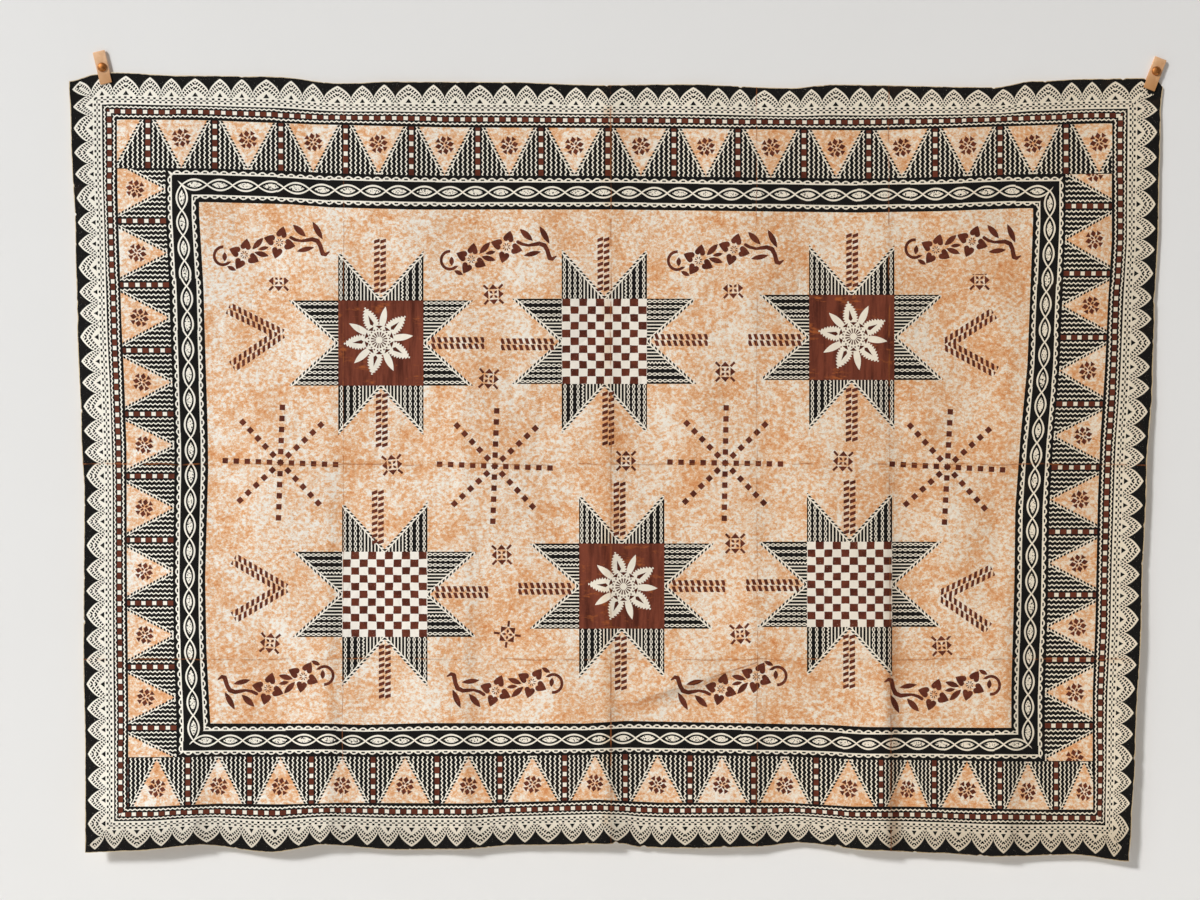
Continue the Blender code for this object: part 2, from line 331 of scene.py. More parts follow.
class Finish:
    """A material under construction."""

    def __init__(self, name, roughness=0.5, metallic=0, specular=0.5):
        self.material = bpy.data.materials.new(name)
        self.material.use_nodes = True
        self.tree = self.material.node_tree
        self.shader = self.tree.nodes["Principled BSDF"]
        looks = {"Roughness": roughness, "Metallic": metallic, "Specular IOR Level": specular}
        for look, value in looks.items():
            self.shader.inputs[look].default_value = value
        # object coordinates, in metres
        self.place = self.node("ShaderNodeTexCoord").outputs["Object"]

    def feed(self, socket, value):
        if isinstance(value, Number):
            value = value.socket
        if isinstance(value, bpy.types.NodeSocket):
            self.tree.links.new(value, socket)
        else:
            socket.default_value = value

    def node(self, kind, settings=None, inputs=None):
        node = self.tree.nodes.new(kind)
        for name, value in (settings or {}).items():
            setattr(node, name, value)
        for name, value in (inputs or {}).items():
            self.feed(node.inputs[name], value)
        return node

    def number(self, kind, settings, inputs):
        return Number(self, self.node(kind, settings, inputs).outputs[0])

    def maths(self, operation, *values):
        return self.number("ShaderNodeMath", {"operation": operation}, dict(enumerate(values)))

    def split(self, vector):
        parts = self.node("ShaderNodeSeparateXYZ", inputs={0: vector}).outputs
        return [Number(self, one) for one in parts]

    def map(self, name):
        """The two numbers of one of the piece's own UV maps, in millimetres."""
        uv = self.node("ShaderNodeUVMap", {"uv_map": name}).outputs[0]
        across, up, _ = self.split(uv)
        return across * MM, up * MM

    def cloudy(self, scale, detail=3, roughness=0.5, warp=0, vector=None):
        """Noise, 0 to 1."""
        inputs = {"Vector": vector or self.place, "Scale": scale, "Detail": detail}
        inputs |= {"Roughness": roughness, "Distortion": warp}
        return self.number("ShaderNodeTexNoise", {"noise_dimensions": "3D"}, inputs)

    def fibrous(self, scales, detail, roughness, warp=0):
        """Noise with a scale of its own along each axis, 0 to 1."""
        settings = {"operation": "MULTIPLY"}
        place = self.node("ShaderNodeVectorMath", settings, {0: self.place, 1: scales}).outputs[0]
        return self.cloudy(1, detail, roughness, warp, place)

    def chance(self, value):
        """A number from 0 to 1 for each whole number."""
        inputs = {"W": value.maths("FLOOR")}
        return self.number("ShaderNodeTexWhiteNoise", {"noise_dimensions": "1D"}, inputs)

    def show(self, colour, height=None, distance=0.001, roughness=None):
        self.feed(self.shader.inputs["Base Color"], colour)
        if roughness is not None:
            self.feed(self.shader.inputs["Roughness"], roughness)
        if height is not None:
            bump = self.node("ShaderNodeBump", inputs={"Height": height, "Distance": distance})
            self.feed(self.shader.inputs["Normal"], bump.outputs[0])
        return self.material


# Shader maths


def least(one, other):
    return one.maths("MINIMUM", other)


def most(one, other):
    return one.maths("MAXIMUM", other)


def pick(mask, yes, no):
    return no + (yes - no) * mask


def part(value, period):
    """How far through its period a number is, 0 to 1."""
    return (value / period).maths("FRACT")


def every(value, period, share):
    """A mask of stripes, this share of a period to each side of its middle."""
    return abs(part(value, period) - 0.5) < share


def zigzag(value, period):
    """-1 to 1 and back over each period."""
    return abs(part(value, period) - 0.5) * 4 - 1


def arches(value, period):
    """0 to 1 and back over each period, rounded at 1."""
    return abs((value * (math.pi / period)).maths("SINE"))


def bow(place, half, height):
    """The height of a bow at a place along it, from the middle of its length."""
    share = place / half
    return (1 - share * share) * height


def span(x, y):
    """How far a point lies from the centre."""
    return (x * x + y * y).maths("SQRT")


def bearing(x, y, number):
    """A point's direction, counted in this many turns to a circle."""
    return y.maths("ARCTAN2", x) * (number / math.tau)


def spokes(x, y, number, share):
    return every(bearing(x, y, number), 1, share)


def far_near(x, y):
    """The larger and the smaller of a point's distances from the two axes."""
    return most(abs(x), abs(y)), least(abs(x), abs(y))


def ramp(value, start, end):
    """0 below the start, 1 above the end."""
    inputs = {"Value": value, "From Min": start, "From Max": end}
    return value.finish.number("ShaderNodeMapRange", {"clamp": True}, inputs)


def blend(mask, under, over):
    """The colour under, with the colour over it where the mask is 1."""
    settings = {"data_type": "RGBA", "clamp_factor": True}
    return mask.finish.node("ShaderNodeMix", settings, {0: mask, 6: under, 7: over}).outputs[2]


def graded(value, start, end, under, over):
    """One colour below the start and another above the end."""
    return blend(ramp(value, start, end), under, over)


# used for fold marks and for painted shade
def darken_by_tint(mask, colour, by):
    """The colour, darkened by a tint where the mask is 1."""
    settings = {"data_type": "RGBA", "blend_type": "MULTIPLY"}
    inputs = {0: 1, 6: colour, 7: (*by, 1)}
    return blend(mask, colour, mask.finish.node("ShaderNodeMix", settings, inputs).outputs[2])


# The drape of the cloth


def smooth(share):
    share = min(max(share, 0), 1)
    return share * share * (3 - 2 * share)


def along(table, place, ease=smooth):
    """Runs from point to point of a table, rounded or straight, and level beyond its ends."""
    place = min(max(place, table[0][0]), table[-1][0])
    for (start, first), (end, second) in zip(table, table[1:]):
        if place <= end:
            return first + (second - first) * ease((place - start) / (end - start))


def straight(table, place):
    return along(table, place, float)


def across_edge(table, share):
    start, end = table[0][0], table[-1][0]
    return along(table, start + (end - start) * share)


def beside_line(point, start, end):
    """How far a point lies from a line, less than 0 above it, and how full the ridge is there."""
    run = end - start
    share = (point - start).dot(run) / run.length_squared
    nearest = start + run * min(max(share, 0), 1)
    fade = smooth(RIDGE_FADE * (0.5 - abs(share - 0.5)))
    above = run.cross(point - start) * (1 if run.x > 0 else -1) > 0
    return (point - nearest).length * (-1 if above else 1), fade


def crease_step(gap, width):
    if gap < 0:
        return math.exp(gap / CREASE_RISE)
    drop = (1 + CREASE_DIP) * math.exp(-gap / width)
    return drop - CREASE_DIP * math.exp(-gap / CREASE_RETURN)


def stand_off(x, z, across, down):
    depth = TOP_STAND_OFF + (HEM_STAND_OFF - TOP_STAND_OFF) * down
    growth = down**CREASE_GROWTH
    for place, top, hem, width in UPRIGHT_CREASES:
        depth += (top + (hem - top) * growth) * crease_step(x - place, width)
    for place, height, above, below in LEVEL_CREASES:
        gap = z - place
        width = above if gap > 0 else below
        depth += height * math.exp(-abs(gap) / width)
    for start, end, height, above, below in SLANTED_RIDGES:
        gap, fade = beside_line(Vector((x, z)), Vector(start), Vector(end))
        width = above if gap < 0 else below
        depth += height * fade * math.exp(-((gap / width) ** 2))
    for height, over, under, phase in SLOW_WAVES:
        depth += height * math.sin(math.tau * (over * x + under * z) + phase)
    for corner, level, height, width in BENT_CORNERS:
        gap = math.hypot((across - corner) * 2 * STUD_REACH, (down - level) * CLOTH_HEIGHT)
        depth += height * math.exp(-((gap / width) ** 2))
    return max(depth, HELD_DEPTH)


def tab_grip(x, z):
    grip = 0
    for _, side, height, lean, below in TABS:
        turn = math.radians(lean)
        held = Vector((side * STUD_REACH, height))
        held -= Vector((math.sin(turn), math.cos(turn))) * below * HELD_SHARE
        gap = (Vector((x, z)) - held).length
        grip = max(grip, smooth((FREE_REACH - gap) / (FREE_REACH - HELD_REACH)))
    return grip


def crumple(x, z):
    """The fine unevenness of beaten bark that has been folded and opened."""
    height = 0
    for scale, amount in CRUMPLES:
        height += amount * noise.noise(Vector((x * scale, z * scale * CRUMPLE_SQUASH, scale)))
    return height


def border_lines(length, *places):
    """The lines of the border across the flat cloth, each with its place on the wall."""
    return list(zip((0, RING, BORDER, length - BORDER, length - RING, length), places))


@cache
def on_wall(s, t):
    """Where a point of the flat cloth shows against the wall, and its shares across and down.

    The point is given by its distances right of and below the flat cloth's corner.
    """
    across, down = s / FLAT_WIDTH, t / FLAT_HEIGHT
    left, right = along(LEFT_EDGE, down), along(RIGHT_EDGE, down)
    top, bottom = across_edge(TOP_EDGE, across), across_edge(BOTTOM_EDGE, across)
    rough_x = left + (right - left) * across
    rough_drop = -top - (bottom - top) * down
    sides = [straight(table, rough_drop) for table in (RING_LEFT, FIELD_LEFT, FIELD_RIGHT, RING_RIGHT)]
    levels = [straight(table, rough_x) for table in (RING_TOP, FIELD_TOP, FIELD_BOTTOM, RING_BOTTOM)]
    x = straight(border_lines(FLAT_WIDTH, left, *sides, right), s)
    z = straight(border_lines(FLAT_HEIGHT, top, *levels, bottom), t)
    return x, z, (x - left) / (right - left), (top - z) / (top - bottom)


def sheet_point(s, t):
    """The printed face's place in the room."""
    x, z, across, down = on_wall(s, t)
    grip = tab_grip(x, z)
    free = max(stand_off(x, z, across, down) + crumple(x, z), HELD_DEPTH)
    depth = free + (HELD_DEPTH - free) * grip + CLOTH_THICKNESS / 2
    wall = Vector((x, 0, z))
    return wall + (EYE - wall) * (depth / -EYE.y)


# The printed sheet


def stations(length):
    """Grid lines along one side of the cloth, with one on each strip's edge."""
    strips = (LACE, RING, BAND, BORDER)
    stops = [0, *strips, *(length - strip for strip in reversed(strips)), length]
    places = [0]
    for start, end in zip(stops, stops[1:]):
        cells = math.ceil((end - start) / CELL)
        places += [start + (end - start) * cell / cells for cell in range(1, cells + 1)]
    return places


def counted(bars, place):
    """How many bars lie before this place, with parts of one."""
    for index, (start, end) in enumerate(zip(bars, bars[1:])):
        if place <= end or index == len(bars) - 2:
            return index + (place - start) / (end - start)


def scallops(distance):
    """Lace scallops before this distance, printed three at a time from an uneven stencil."""
    prints, rest = divmod(distance / (3 * SCALLOP), 1)
    return 3 * prints + counted(STENCIL, rest)


def spun(x, y, degrees):
    """A point in axes turned this far anticlockwise."""
    cosine, sine = math.cos(math.radians(degrees)), math.sin(math.radians(degrees))
    return x * cosine + y * sine, y * cosine - x * sine


def star_at(x, z):
    for index, (centre, height, *_, bars) in enumerate(STARS):
        wide, high = abs(x - centre), abs(z - height)
        near, far = min(wide, high), max(wide, high)
        if far < STAR_SQUARE + STAR_POINT + STAR_MARGIN and near < STAR_SQUARE + STAR_MARGIN:
            return index
        barred = high > wide or bars[3 if x > centre else 2] is not None
        if barred and far < BAR_END + STAR_MARGIN and near < BAR_MARGIN:
            return index


def field_zone(x, z):
    """The finish of a spot in the field, and the motif that it belongs to."""
    star = star_at(x, z)
    if star is not None:
        centre, height = STARS[star][:2]
        return f"star_{star + 1}", (centre, height, 0)
    for name, motifs, wide, high in MOTIFS:
        for motif in motifs:
            if abs(x - motif[0]) < wide and abs(z - motif[1]) < high:
                return name, motif
    return "field", (0, 0, 0)


def beside_bars(bars, place, back, across, length):
    """The coordinates of a spot among the triangles: bars before it, and how far in it lies."""
    return (counted(bars, place) - back) / MM, min(across, length - across) - RING


def zone(s, t):
    """The finish of a spot of the flat cloth, and a function that gives its motif's coordinates."""
    side, level = min(s, FLAT_WIDTH - s), min(t, FLAT_HEIGHT - t)
    inwards = min(side, level)
    if inwards < LACE:
        return "lace", lambda s, t, x, z: (scallops(s) / MM, scallops(t) / MM)
    if inwards < RING:
        return "ring", lambda s, t, x, z: (0, 0)
    x, z, _, _ = on_wall(s, t)
    if RING < level < BAND:
        bars = TOP_BARS if t < level + RING else BOTTOM_BARS
        back = BLANK if bars is TOP_BARS and x < bars[0] - CELL else 0
        return "triangles", lambda s, t, x, z: beside_bars(bars, x, back, t, FLAT_HEIGHT)
    if RING < side < BAND:
        bars = LEFT_BARS if s < side + RING else RIGHT_BARS
        back = BLANK if bars is LEFT_BARS and -z > bars[-1] + CELL else 0
        return "triangles", lambda s, t, x, z: beside_bars(bars, -z, back, s, FLAT_WIDTH)
    if inwards < BORDER:
        return "chain", lambda s, t, x, z: (0, 0)
    name, motif = field_zone(x, z)
    return name, lambda s, t, x, z: spun(x - motif[0], z - motif[1], motif[2])


def ragged(s, t):
    """How far the torn edge is drawn in here."""
    fibres, waves, nicks = (
        noise.noise(Vector((s * scale, t * scale, seed))) for scale, seed in TORN_EDGE
    )
    torn = WAVE_DEPTH * max(waves, 0) + NICK_DEPTH * max(nicks - NICK_START, 0)
    return FIBRE_DEPTH * (fibres + 1) + torn


def flat_cloth(names):
    """The flat cloth, with its maps and the finish of each zone."""
    columns, rows = stations(FLAT_WIDTH), stations(FLAT_HEIGHT)
    wide, high = len(columns) - 1, len(rows) - 1
    shape = bmesh.new()
    bmesh.ops.create_grid(shape, x_segments=wide, y_segments=high, size=0.5)
    for vertex in shape.verts:
        column = round((vertex.co.x + 0.5) * wide)
        row = round((0.5 - vertex.co.y) * high)
        vertex.co = (columns[column], -rows[row], 0)
    flat, motif, bake = [shape.loops.layers.uv.new(name) for name in ("Flat", "Motif", "OFBake")]
    for face in shape.faces:
        face.smooth = True
        middle = face.calc_center_median()
        name, coordinates = zone(middle.x, -middle.y)
        face.material_index = names.index(name)
        for loop in face.loops:
            s, t = loop.vert.co.x, -loop.vert.co.y
            x, z, _, _ = on_wall(s, t)
            loop[flat].uv = (s, t)
            loop[motif].uv = coordinates(s, t, x, z)
            up = 1 - t / FLAT_HEIGHT
            loop[bake].uv = (s / FLAT_WIDTH, BACK_STRIP + (1 - BACK_STRIP) * up)
    return shape


def hang(shape):
    """Tears the edge and moves each point to its place before the wall."""
    edges = [edge for edge in shape.edges if edge.is_boundary]
    bmesh.ops.subdivide_edges(shape, edges=edges, cuts=RAGGED_CUTS)
    for vertex in shape.verts:
        s, t = vertex.co.x, -vertex.co.y
        if vertex.is_boundary:
            drawn = ragged(s, t)
            s += drawn * ((s < CELL / 2) - (s > FLAT_WIDTH - CELL / 2))
            t += drawn * ((t < CELL / 2) - (t > FLAT_HEIGHT - CELL / 2))
        vertex.co = sheet_point(s, t)
    bmesh.ops.recalc_face_normals(shape, faces=shape.faces)
    if sum(face.normal.y for face in shape.faces) > 0:
        bmesh.ops.reverse_faces(shape, faces=shape.faces)


def add_back(shape, back):
    """Closes the sheet with a plain back and a thin edge."""
    front = set(shape.faces)
    bmesh.ops.solidify(shape, geom=list(shape.faces), thickness=CLOTH_THICKNESS)
    bake = shape.loops.layers.uv["OFBake"]
    for face in shape.faces:
        if face not in front:
            face.material_index = back
            for loop in face.loops:
                u, v = loop[bake].uv
                loop[bake].uv = (u, (v - BACK_STRIP) / (1 - BACK_STRIP) * BACK_HEIGHT)


def placed(name, data):
    """A new object of the scene."""
    made = bpy.data.objects.new(name, data)
    bpy.context.scene.collection.objects.link(made)
    return made


def piece(shape, name, finishes):
    """A shape with its finishes, put in the scene."""
    mesh = bpy.data.meshes.new(name)
    shape.to_mesh(mesh)
    shape.free()
    for finish in finishes:
        mesh.materials.append(finish)
    return placed(name, mesh)


def printed_sheet(finishes):
    """The cloth as one closed sheet: printed face, plain back, and a torn edge between."""
    names = list(finishes)
    shape = flat_cloth(names)
    hang(shape)
    add_back(shape, names.index("back"))
    cloth = piece(shape, "bark_cloth_printed", finishes.values())
    cloth.data.set_sharp_from_angle(angle=EDGE_BEND)
    return cloth


# Finishes of the cloth. Their bare measures are millimetres on the flat cloth, and shares of a period


def ground(finish):
    """Cream bark rubbed unevenly with ochre."""
    rubbed = finish.cloudy(10, 6, 0.68, warp=0.4)
    speckle = finish.fibrous((98, 98, 128), 8, 0.82)
    strength = 0.5 + (rubbed - 0.5) * 0.45 + (speckle - 0.5) * 1.3
    colour = graded(strength, 0.41, 0.47, PALE_BARK, PALE_OCHRE)
    colour = graded(strength, 0.49, 0.56, colour, OCHRE)
    return graded(strength, 0.6, 0.69, colour, DEEP_OCHRE)


def worn_ink(mask):
    """An ink mask with specks where the ink has rubbed off."""
    return mask * (1 - 0.5 * ramp(mask.finish.cloudy(420, 2, 0.6), 0.68, 0.78))


def rust(finish):
    return graded(finish.cloudy(38, 5, 0.6), 0.4, 0.62, RUST, DARK_RUST)


def black(finish):
    return graded(finish.cloudy(9, 5, 0.65), 0.58, 0.72, BLACK, BROWN_BLACK)


def rust_print(mask, colour):
    """The colour, with rust ink over it where the mask is 1."""
    return blend(worn_ink(mask), colour, rust(mask.finish))


# Lines that the folds have worn, in metres: place across or height, and half the line's width
UPRIGHT_LINES = ((-0.042, 0.0016), (-0.655, 0.0009), (0.292, 0.001), (0.596, 0.0017))
LEVEL_LINES = ((-0.907, 0.0015), (-1.352, 0.0013))


def fold_marks(finish, colour, x, z, slant, wobble):
    """Brownish bands along the storage creases, and the lines worn on them and on the slanted ridge."""
    broken = ramp(finish.cloudy(30, 3), 0.4, 0.6)
    # a brownish band along the middle upright crease
    crease_band = ramp(abs(x + wobble * 2 + 0.05), 0.018, 0.006)
    colour = darken_by_tint(crease_band * broken * 0.45, colour, (0.86, 0.66, 0.44))
    line = (abs(slant) < 0.0017) & (x > 0.06) & (x < 0.292)
    for place, width in UPRIGHT_LINES:
        line = line | (abs(x + wobble - place) < width)
    for place, width in LEVEL_LINES:
        line = line | (abs(z + wobble * 2 - place) < width)
        # a brownish band along each level crease
        near = ramp(abs(z + wobble * 3 - place), 0.014, 0.002)
        colour = darken_by_tint(near * broken * 0.35, colour, (0.84, 0.64, 0.42))
    return blend(line * broken * 0.6, colour, FOLD_BROWN)


def marks_and_painted_shade(finish, colour):
    """Fold marks, painted shade beside a crease and under the ridge, a hem darkened by soil and painted
    shade, and a warmer right side darkened by painted shade.
    """
    x, _, z = finish.split(finish.place)
    wobble = (finish.cloudy(14, 2) - 0.5) * 0.006
    slant = (z + 1.412 - (x - 0.127) * 0.32) + wobble
    colour = fold_marks(finish, colour, x, z, slant, wobble)
    # painted shade on the side of the upright crease near 0.6 m that turns from the light, low on the
    # cloth
    painted_crease_shade = ramp(z, -1.05, -1.45) * ramp(abs(x + wobble * 3 - 0.604), 0.022, 0.004)
    # painted shade in a band under the slanted ridge
    shaded = ramp(slant, -0.02, -0.001) * ramp(slant, 0.003, 0)
    shaded = shaded * ramp(abs(x - 0.127), 0.19, 0.1)
    colour = darken_by_tint(most(painted_crease_shade * 0.55, shaded * 0.45), colour, (0.62, 0.46, 0.34))
    # the hem darker, partly soil and partly painted shade
    colour = darken_by_tint(ramp(z, -1.69, -1.76), colour, (0.75, 0.72, 0.68))
    # warmer and darker to the right: partly the bark's own tone, partly painted shade where less light
    # falls
    return darken_by_tint(ramp(x, -1.1, 1.3), colour, (0.835, 0.76, 0.66))


def felt(finish):
    """The height of beaten bark: fine ribs from the beater, fibres and soft wrinkles, in millimetres."""
    ribs = finish.fibrous((420, 420, 45), 2, 0.5)
    fibres = finish.fibrous((60, 60, 520), 3, 0.6)
    creased = abs(finish.cloudy(11, 3, 0.55, warp=0.8) - 0.5)
    return ribs * 0.1 + fibres * 0.14 + ramp(creased, 0, 0.07) * 0.55


def cloth_finish(name, draw):
    """A finish of the printed face. draw gives its colour."""
    finish = Finish(name, roughness=0.92, specular=0.25)
    return finish.show(marks_and_painted_shade(finish, draw(finish)), felt(finish))


def shaken(value, along_side, amount):
    """A distance that shifts a little where one stencil print ends and the next begins."""
    return value + (value.finish.chance(along_side / STENCIL_LENGTH) - 0.5) * amount


def border_sides(finish):
    """Distance in from the nearer edge, distance along it, and the mask of the two upright sides."""
    s, t = finish.map("Flat")
    side = least(s, FLAT_WIDTH * MM - s)
    level = least(t, FLAT_HEIGHT * MM - t)
    upright = side < level
    return least(side, level), pick(upright, t, s), upright, side, level


def scallop_edge(count):
    """How far in a pointed scallop's outline lies, in millimetres."""
    half = abs(part(count, 1) - 0.5) * 2
    arc = 1 - most(1 - half * half, 0).maths("SQRT")
    return 7.5 + half * 17 + arc * 18


def lace_scallops(x, inwards, outline):
    """Two rows of dashes inside a scallop's outline, and the kernel at its foot."""
    inside = (inwards - outline) * 0.66
    flank = (abs(x) + inwards * 0.8) * 0.72
    outer = (abs(inside - 6.8) < 2.9) & (inwards < 54)
    inner = (abs(inside - 14.8) < 2.7) & (inwards < 53)
    kernel = (abs(x) < (inwards - 41.5) * 0.58) & (inwards < 52)
    return kernel | ((outer | inner) & every(flank, 5.5, 0.3))


def lace_rows(place, inwards):
    """A row of dashes between two rows of dots."""
    rows = (abs(inwards - 57.6) < 2.3) | (abs(inwards - 67) < 2.3)
    dashed = (abs(inwards - 62.3) < 1.4) & every(place + LACE_DOTS / 2, LACE_DOTS, 0.26)
    return dashed | (rows & every(place, LACE_DOTS, 0.21))


def lace_colour(finish):
    """Cream scallops on a black edge, with the scallops of the upper right corner left out."""
    inwards, place, upright, side, level = border_sides(finish)
    over, down = finish.map("Motif")
    above, beside = scallop_edge(over), scallop_edge(down)
    s, t = finish.map("Flat")
    corner = (s > FLAT_WIDTH * MM - 32) & (t < 36)
    cream = (level > above) & (side > beside) & ~corner
    x = (part(pick(upright, down, over), 1) - 0.5) * SCALLOP * MM
    marks = lace_scallops(x, inwards, pick(upright, beside, above))
    ink = ~cream | marks | lace_rows(place, inwards)
    colour = blend(worn_ink(ink), CREAM, black(finish))
    raw = inwards < finish.cloudy(45, 3) * 4.4 - 0.6
    return blend(raw, colour, BAST)


def squares(place, across, width, period):
    """Masks of a row of squares, rust and cream by turns."""
    step = part(place, period)
    red = (step < 0.54) & (abs(across) < width)
    pale = (abs(step - 0.77) < 0.19) & (abs(across) < width * 0.82)
    return red, pale


def ring_colour(finish):
    """A row of squares between two waved lines."""
    inwards, place, *_ = border_sides(finish)
    inwards = shaken(inwards, place, 1.6)
    wave = zigzag(place, ZIGZAG)
    pale = (abs(inwards - 79.4 + wave * 1.5) < 1.5) | (abs(inwards - 100.6 + wave * 1.6) < 1.6)
    red, cream = squares(place, inwards - 89.8, 5.4, 25.5)
    return rust_print(red, blend(pale | cream, black(finish), CREAM))


def ring_flower(x, y):
    """Four petals and four wedges by turns, round four dashes."""
    out, off = far_near(*spun(x, y, -12))
    petal = off < 6.4 * (1 - abs(out - 13.8) / 8.2)
    slant, near = spun(out, off, 45)
    wedge = (abs(near) < (slant - 10.4) * 0.6) & (slant < 21)
    dash = (abs(slant - 6.4) < 3.3) & (abs(near) < 2.3)
    return petal | wedge | dash


def triangle_colour(finish):
    """Rubbed triangles with a flower each, between striped wedges and bars of squares."""
    count, inwards = finish.map("Motif")
    x = (part(count, 1) - 0.5) * TRIANGLE_PITCH
    bar = TRIANGLE_PITCH / 2 - abs(x)
    slope = (abs(x) - 60 * (1 - inwards / 112)) * 0.88
    stripes = every(bar + zigzag(inwards, ZIGZAG) * 1.9 - 6.4, 11, 0.14)
    colour = blend(stripes & (bar > 8.6), black(finish), CREAM)
    red, cream = squares(inwards + 6, bar, 5.6, 25.9)
    colour = rust_print(red, blend(cream, colour, CREAM))
    colour = blend(slope < 4.6, colour, CREAM)
    colour = blend(slope < 0, colour, ground(finish))
    dots = (abs(slope - 0.4) < 2.4) & every(inwards, 7.8, 0.31)
    colour = blend(dots, colour, BLACK)
    flower = ring_flower(x, inwards - 42) & (slope < -2) & (count > -BLANK / 4)
    colour = rust_print(flower, colour)
    return blend((inwards > 111.2) | (inwards < 1), colour, BLACK)


def chain_colour(finish):
    """A chain of pointed links between two scalloped strips."""
    inwards, place, upright, *_ = border_sides(finish)
    inwards = shaken(inwards, place, 2)
    across = abs(inwards - CHAIN_MIDDLE)
    strip = (across > 22.8) & (across < 27.2 + arches(place, LOOP) * 5.6)
    dots = (abs(across - 27.6) < 1.7) & every(place, LOOP, 0.19)
    pitch = pick(upright, 57.95, 57.2)
    x = abs(part(place - CHAIN_MIDDLE, pitch) - 0.5) * 57.5
    outline = abs(bow(x, 28.9, 12.2) - across) < 2.1
    specks = finish.cloudy(330, 1) > 0.6
    inner = (bow(x, 17.5, 6.6) > across) & ~specks
    return blend(strip & ~dots | outline | inner, black(finish), CREAM)


def dashes(place, across, slant=0.36):
    """Two rows of slanted dashes along a line."""
    off = abs(across)
    lean = pick(across > 0, off - 7, 7 - off) * slant
    return every(place - lean, 14.2, 0.28) & (abs(off - 7.3) < 6.5)


def point_stripes(leftward, edge, place):
    """Beaded rows and stripes of a half point. The other kind has a waved line between them."""
    start = pick(leftward, 47.9, 52.9)
    gap = pick(leftward, 12.2, 15)
    beads = arches(place, 12)
    chain = abs((part(edge, gap) - 0.5) * gap)
    beaded = (chain < 1 + beads * 2.7) & ~((chain < 1.4) & (beads > 0.66))
    pale = pick(edge > start, every(edge - start, 7.9, 0.185), beaded)
    waved = abs(edge - 48.6 + zigzag(place, 8) * 1.8) < 1.7
    return pick(~leftward & (edge > 44.5) & (edge < 52.9), waved, pale)


def star_points(finish, colour, x, y):
    """Eight striped points on the sides of the square."""
    out, near = far_near(x, y)
    place, edge = out - STAR_SQUARE * MM, STAR_SQUARE * MM - near
    slope = (place * (STAR_SQUARE / STAR_POINT) - near) * 0.74
    side = (edge > 0) & (place > 0)
    leftward = pick(abs(y) > abs(x), x * y < 0, x * y > 0)
    striped = blend(point_stripes(leftward, edge, place), black(finish), CREAM)
    colour = blend(side & (slope < 4.2), colour, PALE_BARK)
    colour = blend(side & (slope < 0), colour, striped)
    colour = blend(side & (abs(slope + 1.4) < 1.5), colour, CREAM)
    dots = (abs(slope - 2) < 2.1) & every(place, 8.3, 0.29)
    return blend(side & dots, colour, BLACK)


def petals(x, y, turn, middle, spread, width):
    """Five petals: how far inside one a point lies, and its place along and off that petal."""
    fifths = bearing(x, y, 5) - turn / 72
    angle = (part(fifths + 0.5, 1) - 0.5) * (math.tau / 5)
    radius = span(x, y)
    out = radius * angle.maths("COSINE")
    off = abs(radius * angle.maths("SINE"))
    return bow(out - middle, spread, width) - off, out, off


def rubbed_rust(finish):
    """Rust ink, streaked and scraped."""
    scrape = finish.fibrous((20, 20, 90), 4, 0.7, warp=0.6)
    scuffed = finish.cloudy(16, 5, 0.7)
    streaks = finish.fibrous((70, 70, 7), 4, 0.6)
    colour = graded(streaks, 0.42, 0.66, WORN_RUST, DARK_RUST)
    return graded(scrape * scuffed, 0.3, 0.4, colour, SCRATCH)


def flower_colour(finish, x, y, turn):
    """A cream flower of ten petals in a rubbed rust square."""
    broad, out, off = petals(x, y, turn + 42, 44, 37, 15.6)
    narrow, _, _ = petals(x, y, turn + 7, 49, 29.5, 7.8)
    radius = span(x, y)
    serrated = broad + zigzag(out, 6.2) * 2.4 > 0
    colour = blend(serrated | (narrow > 0) | (radius < 34), rubbed_rust(finish), CREAM)
    slit = (off < (62 - out) * 0.22) & (off < out - 36)
    ring = (abs(radius - 29.5) < 3.6) & spokes(x, y, 10, (radius - 24.5) * 0.045)
    specks = (abs(radius - 24.5) < 1.7) & spokes(x, y, 20, 0.2)
    burst = (abs(radius - 13.2) < 5.6) & spokes(x, y, 16, 0.26)
    return blend(slit | ring | specks | burst, colour, DARK_RUST)


def checks_colour(finish, x, y, turn):
    """Rust and cream squares, eleven rows of ten."""
    way = math.cos(math.radians(turn))
    over, up = x / (19.5 * way), y / (17.9 * way) + 0.5
    wobble = (finish.cloudy(40, 2) - 0.5) * 0.22
    row, column = part(up, 2) < 0.5, part(over, 2) < 0.5
    red = row + column - 2 * (row & column)
    red = red & every(over, 1, 0.475 + wobble) & every(up, 1, 0.49 + wobble)
    return rust_print(red, PALE_BARK)


def star_colour(centre, turn, right, up, bars):
    """Draws a star: its points, its bars of dashes and what its square holds."""

    def draw(finish):
        x, y = finish.map("Motif")
        colour = star_points(finish, ground(finish), x, y)
        upper, lower, left_bar, right_bar = bars
        off = (x - pick(y > 0, upper, lower)) * (1 - 2 * (y < 0))
        ink = dashes(abs(y), off) & (abs(y) > 114) & (abs(y) < 240)
        for bar, side in ((left_bar, x < 0), (right_bar, x > 0)):
            if bar is not None:
                off = (y - bar) * (1 - 2 * (x > 0))
                ink = ink | (dashes(abs(x), off) & side & (abs(x) > 112) & (abs(x) < 238))
        colour = rust_print(ink, colour)
        held_colour = flower_colour if centre == "flower" else checks_colour
        held = held_colour(finish, x - right, y - up, turn)
        return blend(most(abs(x), abs(y)) < STAR_SQUARE * MM, colour, held)

    return draw


